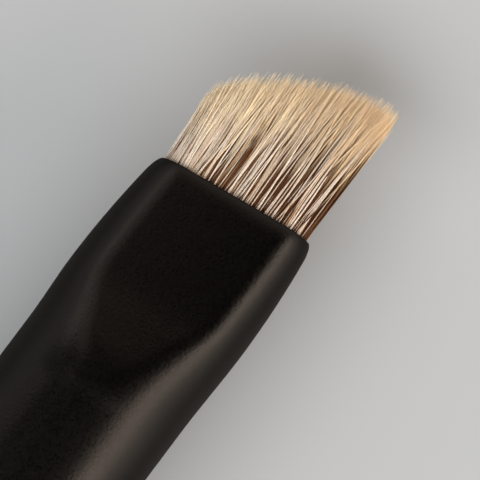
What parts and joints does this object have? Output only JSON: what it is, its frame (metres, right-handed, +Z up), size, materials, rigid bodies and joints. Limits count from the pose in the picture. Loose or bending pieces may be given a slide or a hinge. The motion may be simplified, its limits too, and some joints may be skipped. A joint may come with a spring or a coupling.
{
  "type": "angled eyebrow brush",
  "caption": "Slim hand brush: flat, slant-cut two-tone tuft in a pressed matte black ferrule with crimp rings, on a turned black wooden handle.",
  "frame": {"origin": "bottom centre of the bounding box, under the handle's axis where the belly rests on a table", "axes": "+X along the brush towards the hair, +Y across it towards the short side of the slanted tuft, +Z up out of the pressed flat"},
  "size_m": [0.1506, 0.0082, 0.0082],
  "materials": {
    "ferrule_black": "matte",
    "hair": "satin",
    "thread": "matte",
    "epoxy": "gloss",
    "handle_lacquer": "satin",
    "adhesive": "satin"
  },
  "bodies": {
    "root": {"ferrule": "ferrule_black", "hair_tuft": "hair", "binding_thread": "thread", "glue_plug": "epoxy", "handle": "handle_lacquer", "handle_glue": "adhesive"}
  },
  "joints": []
}
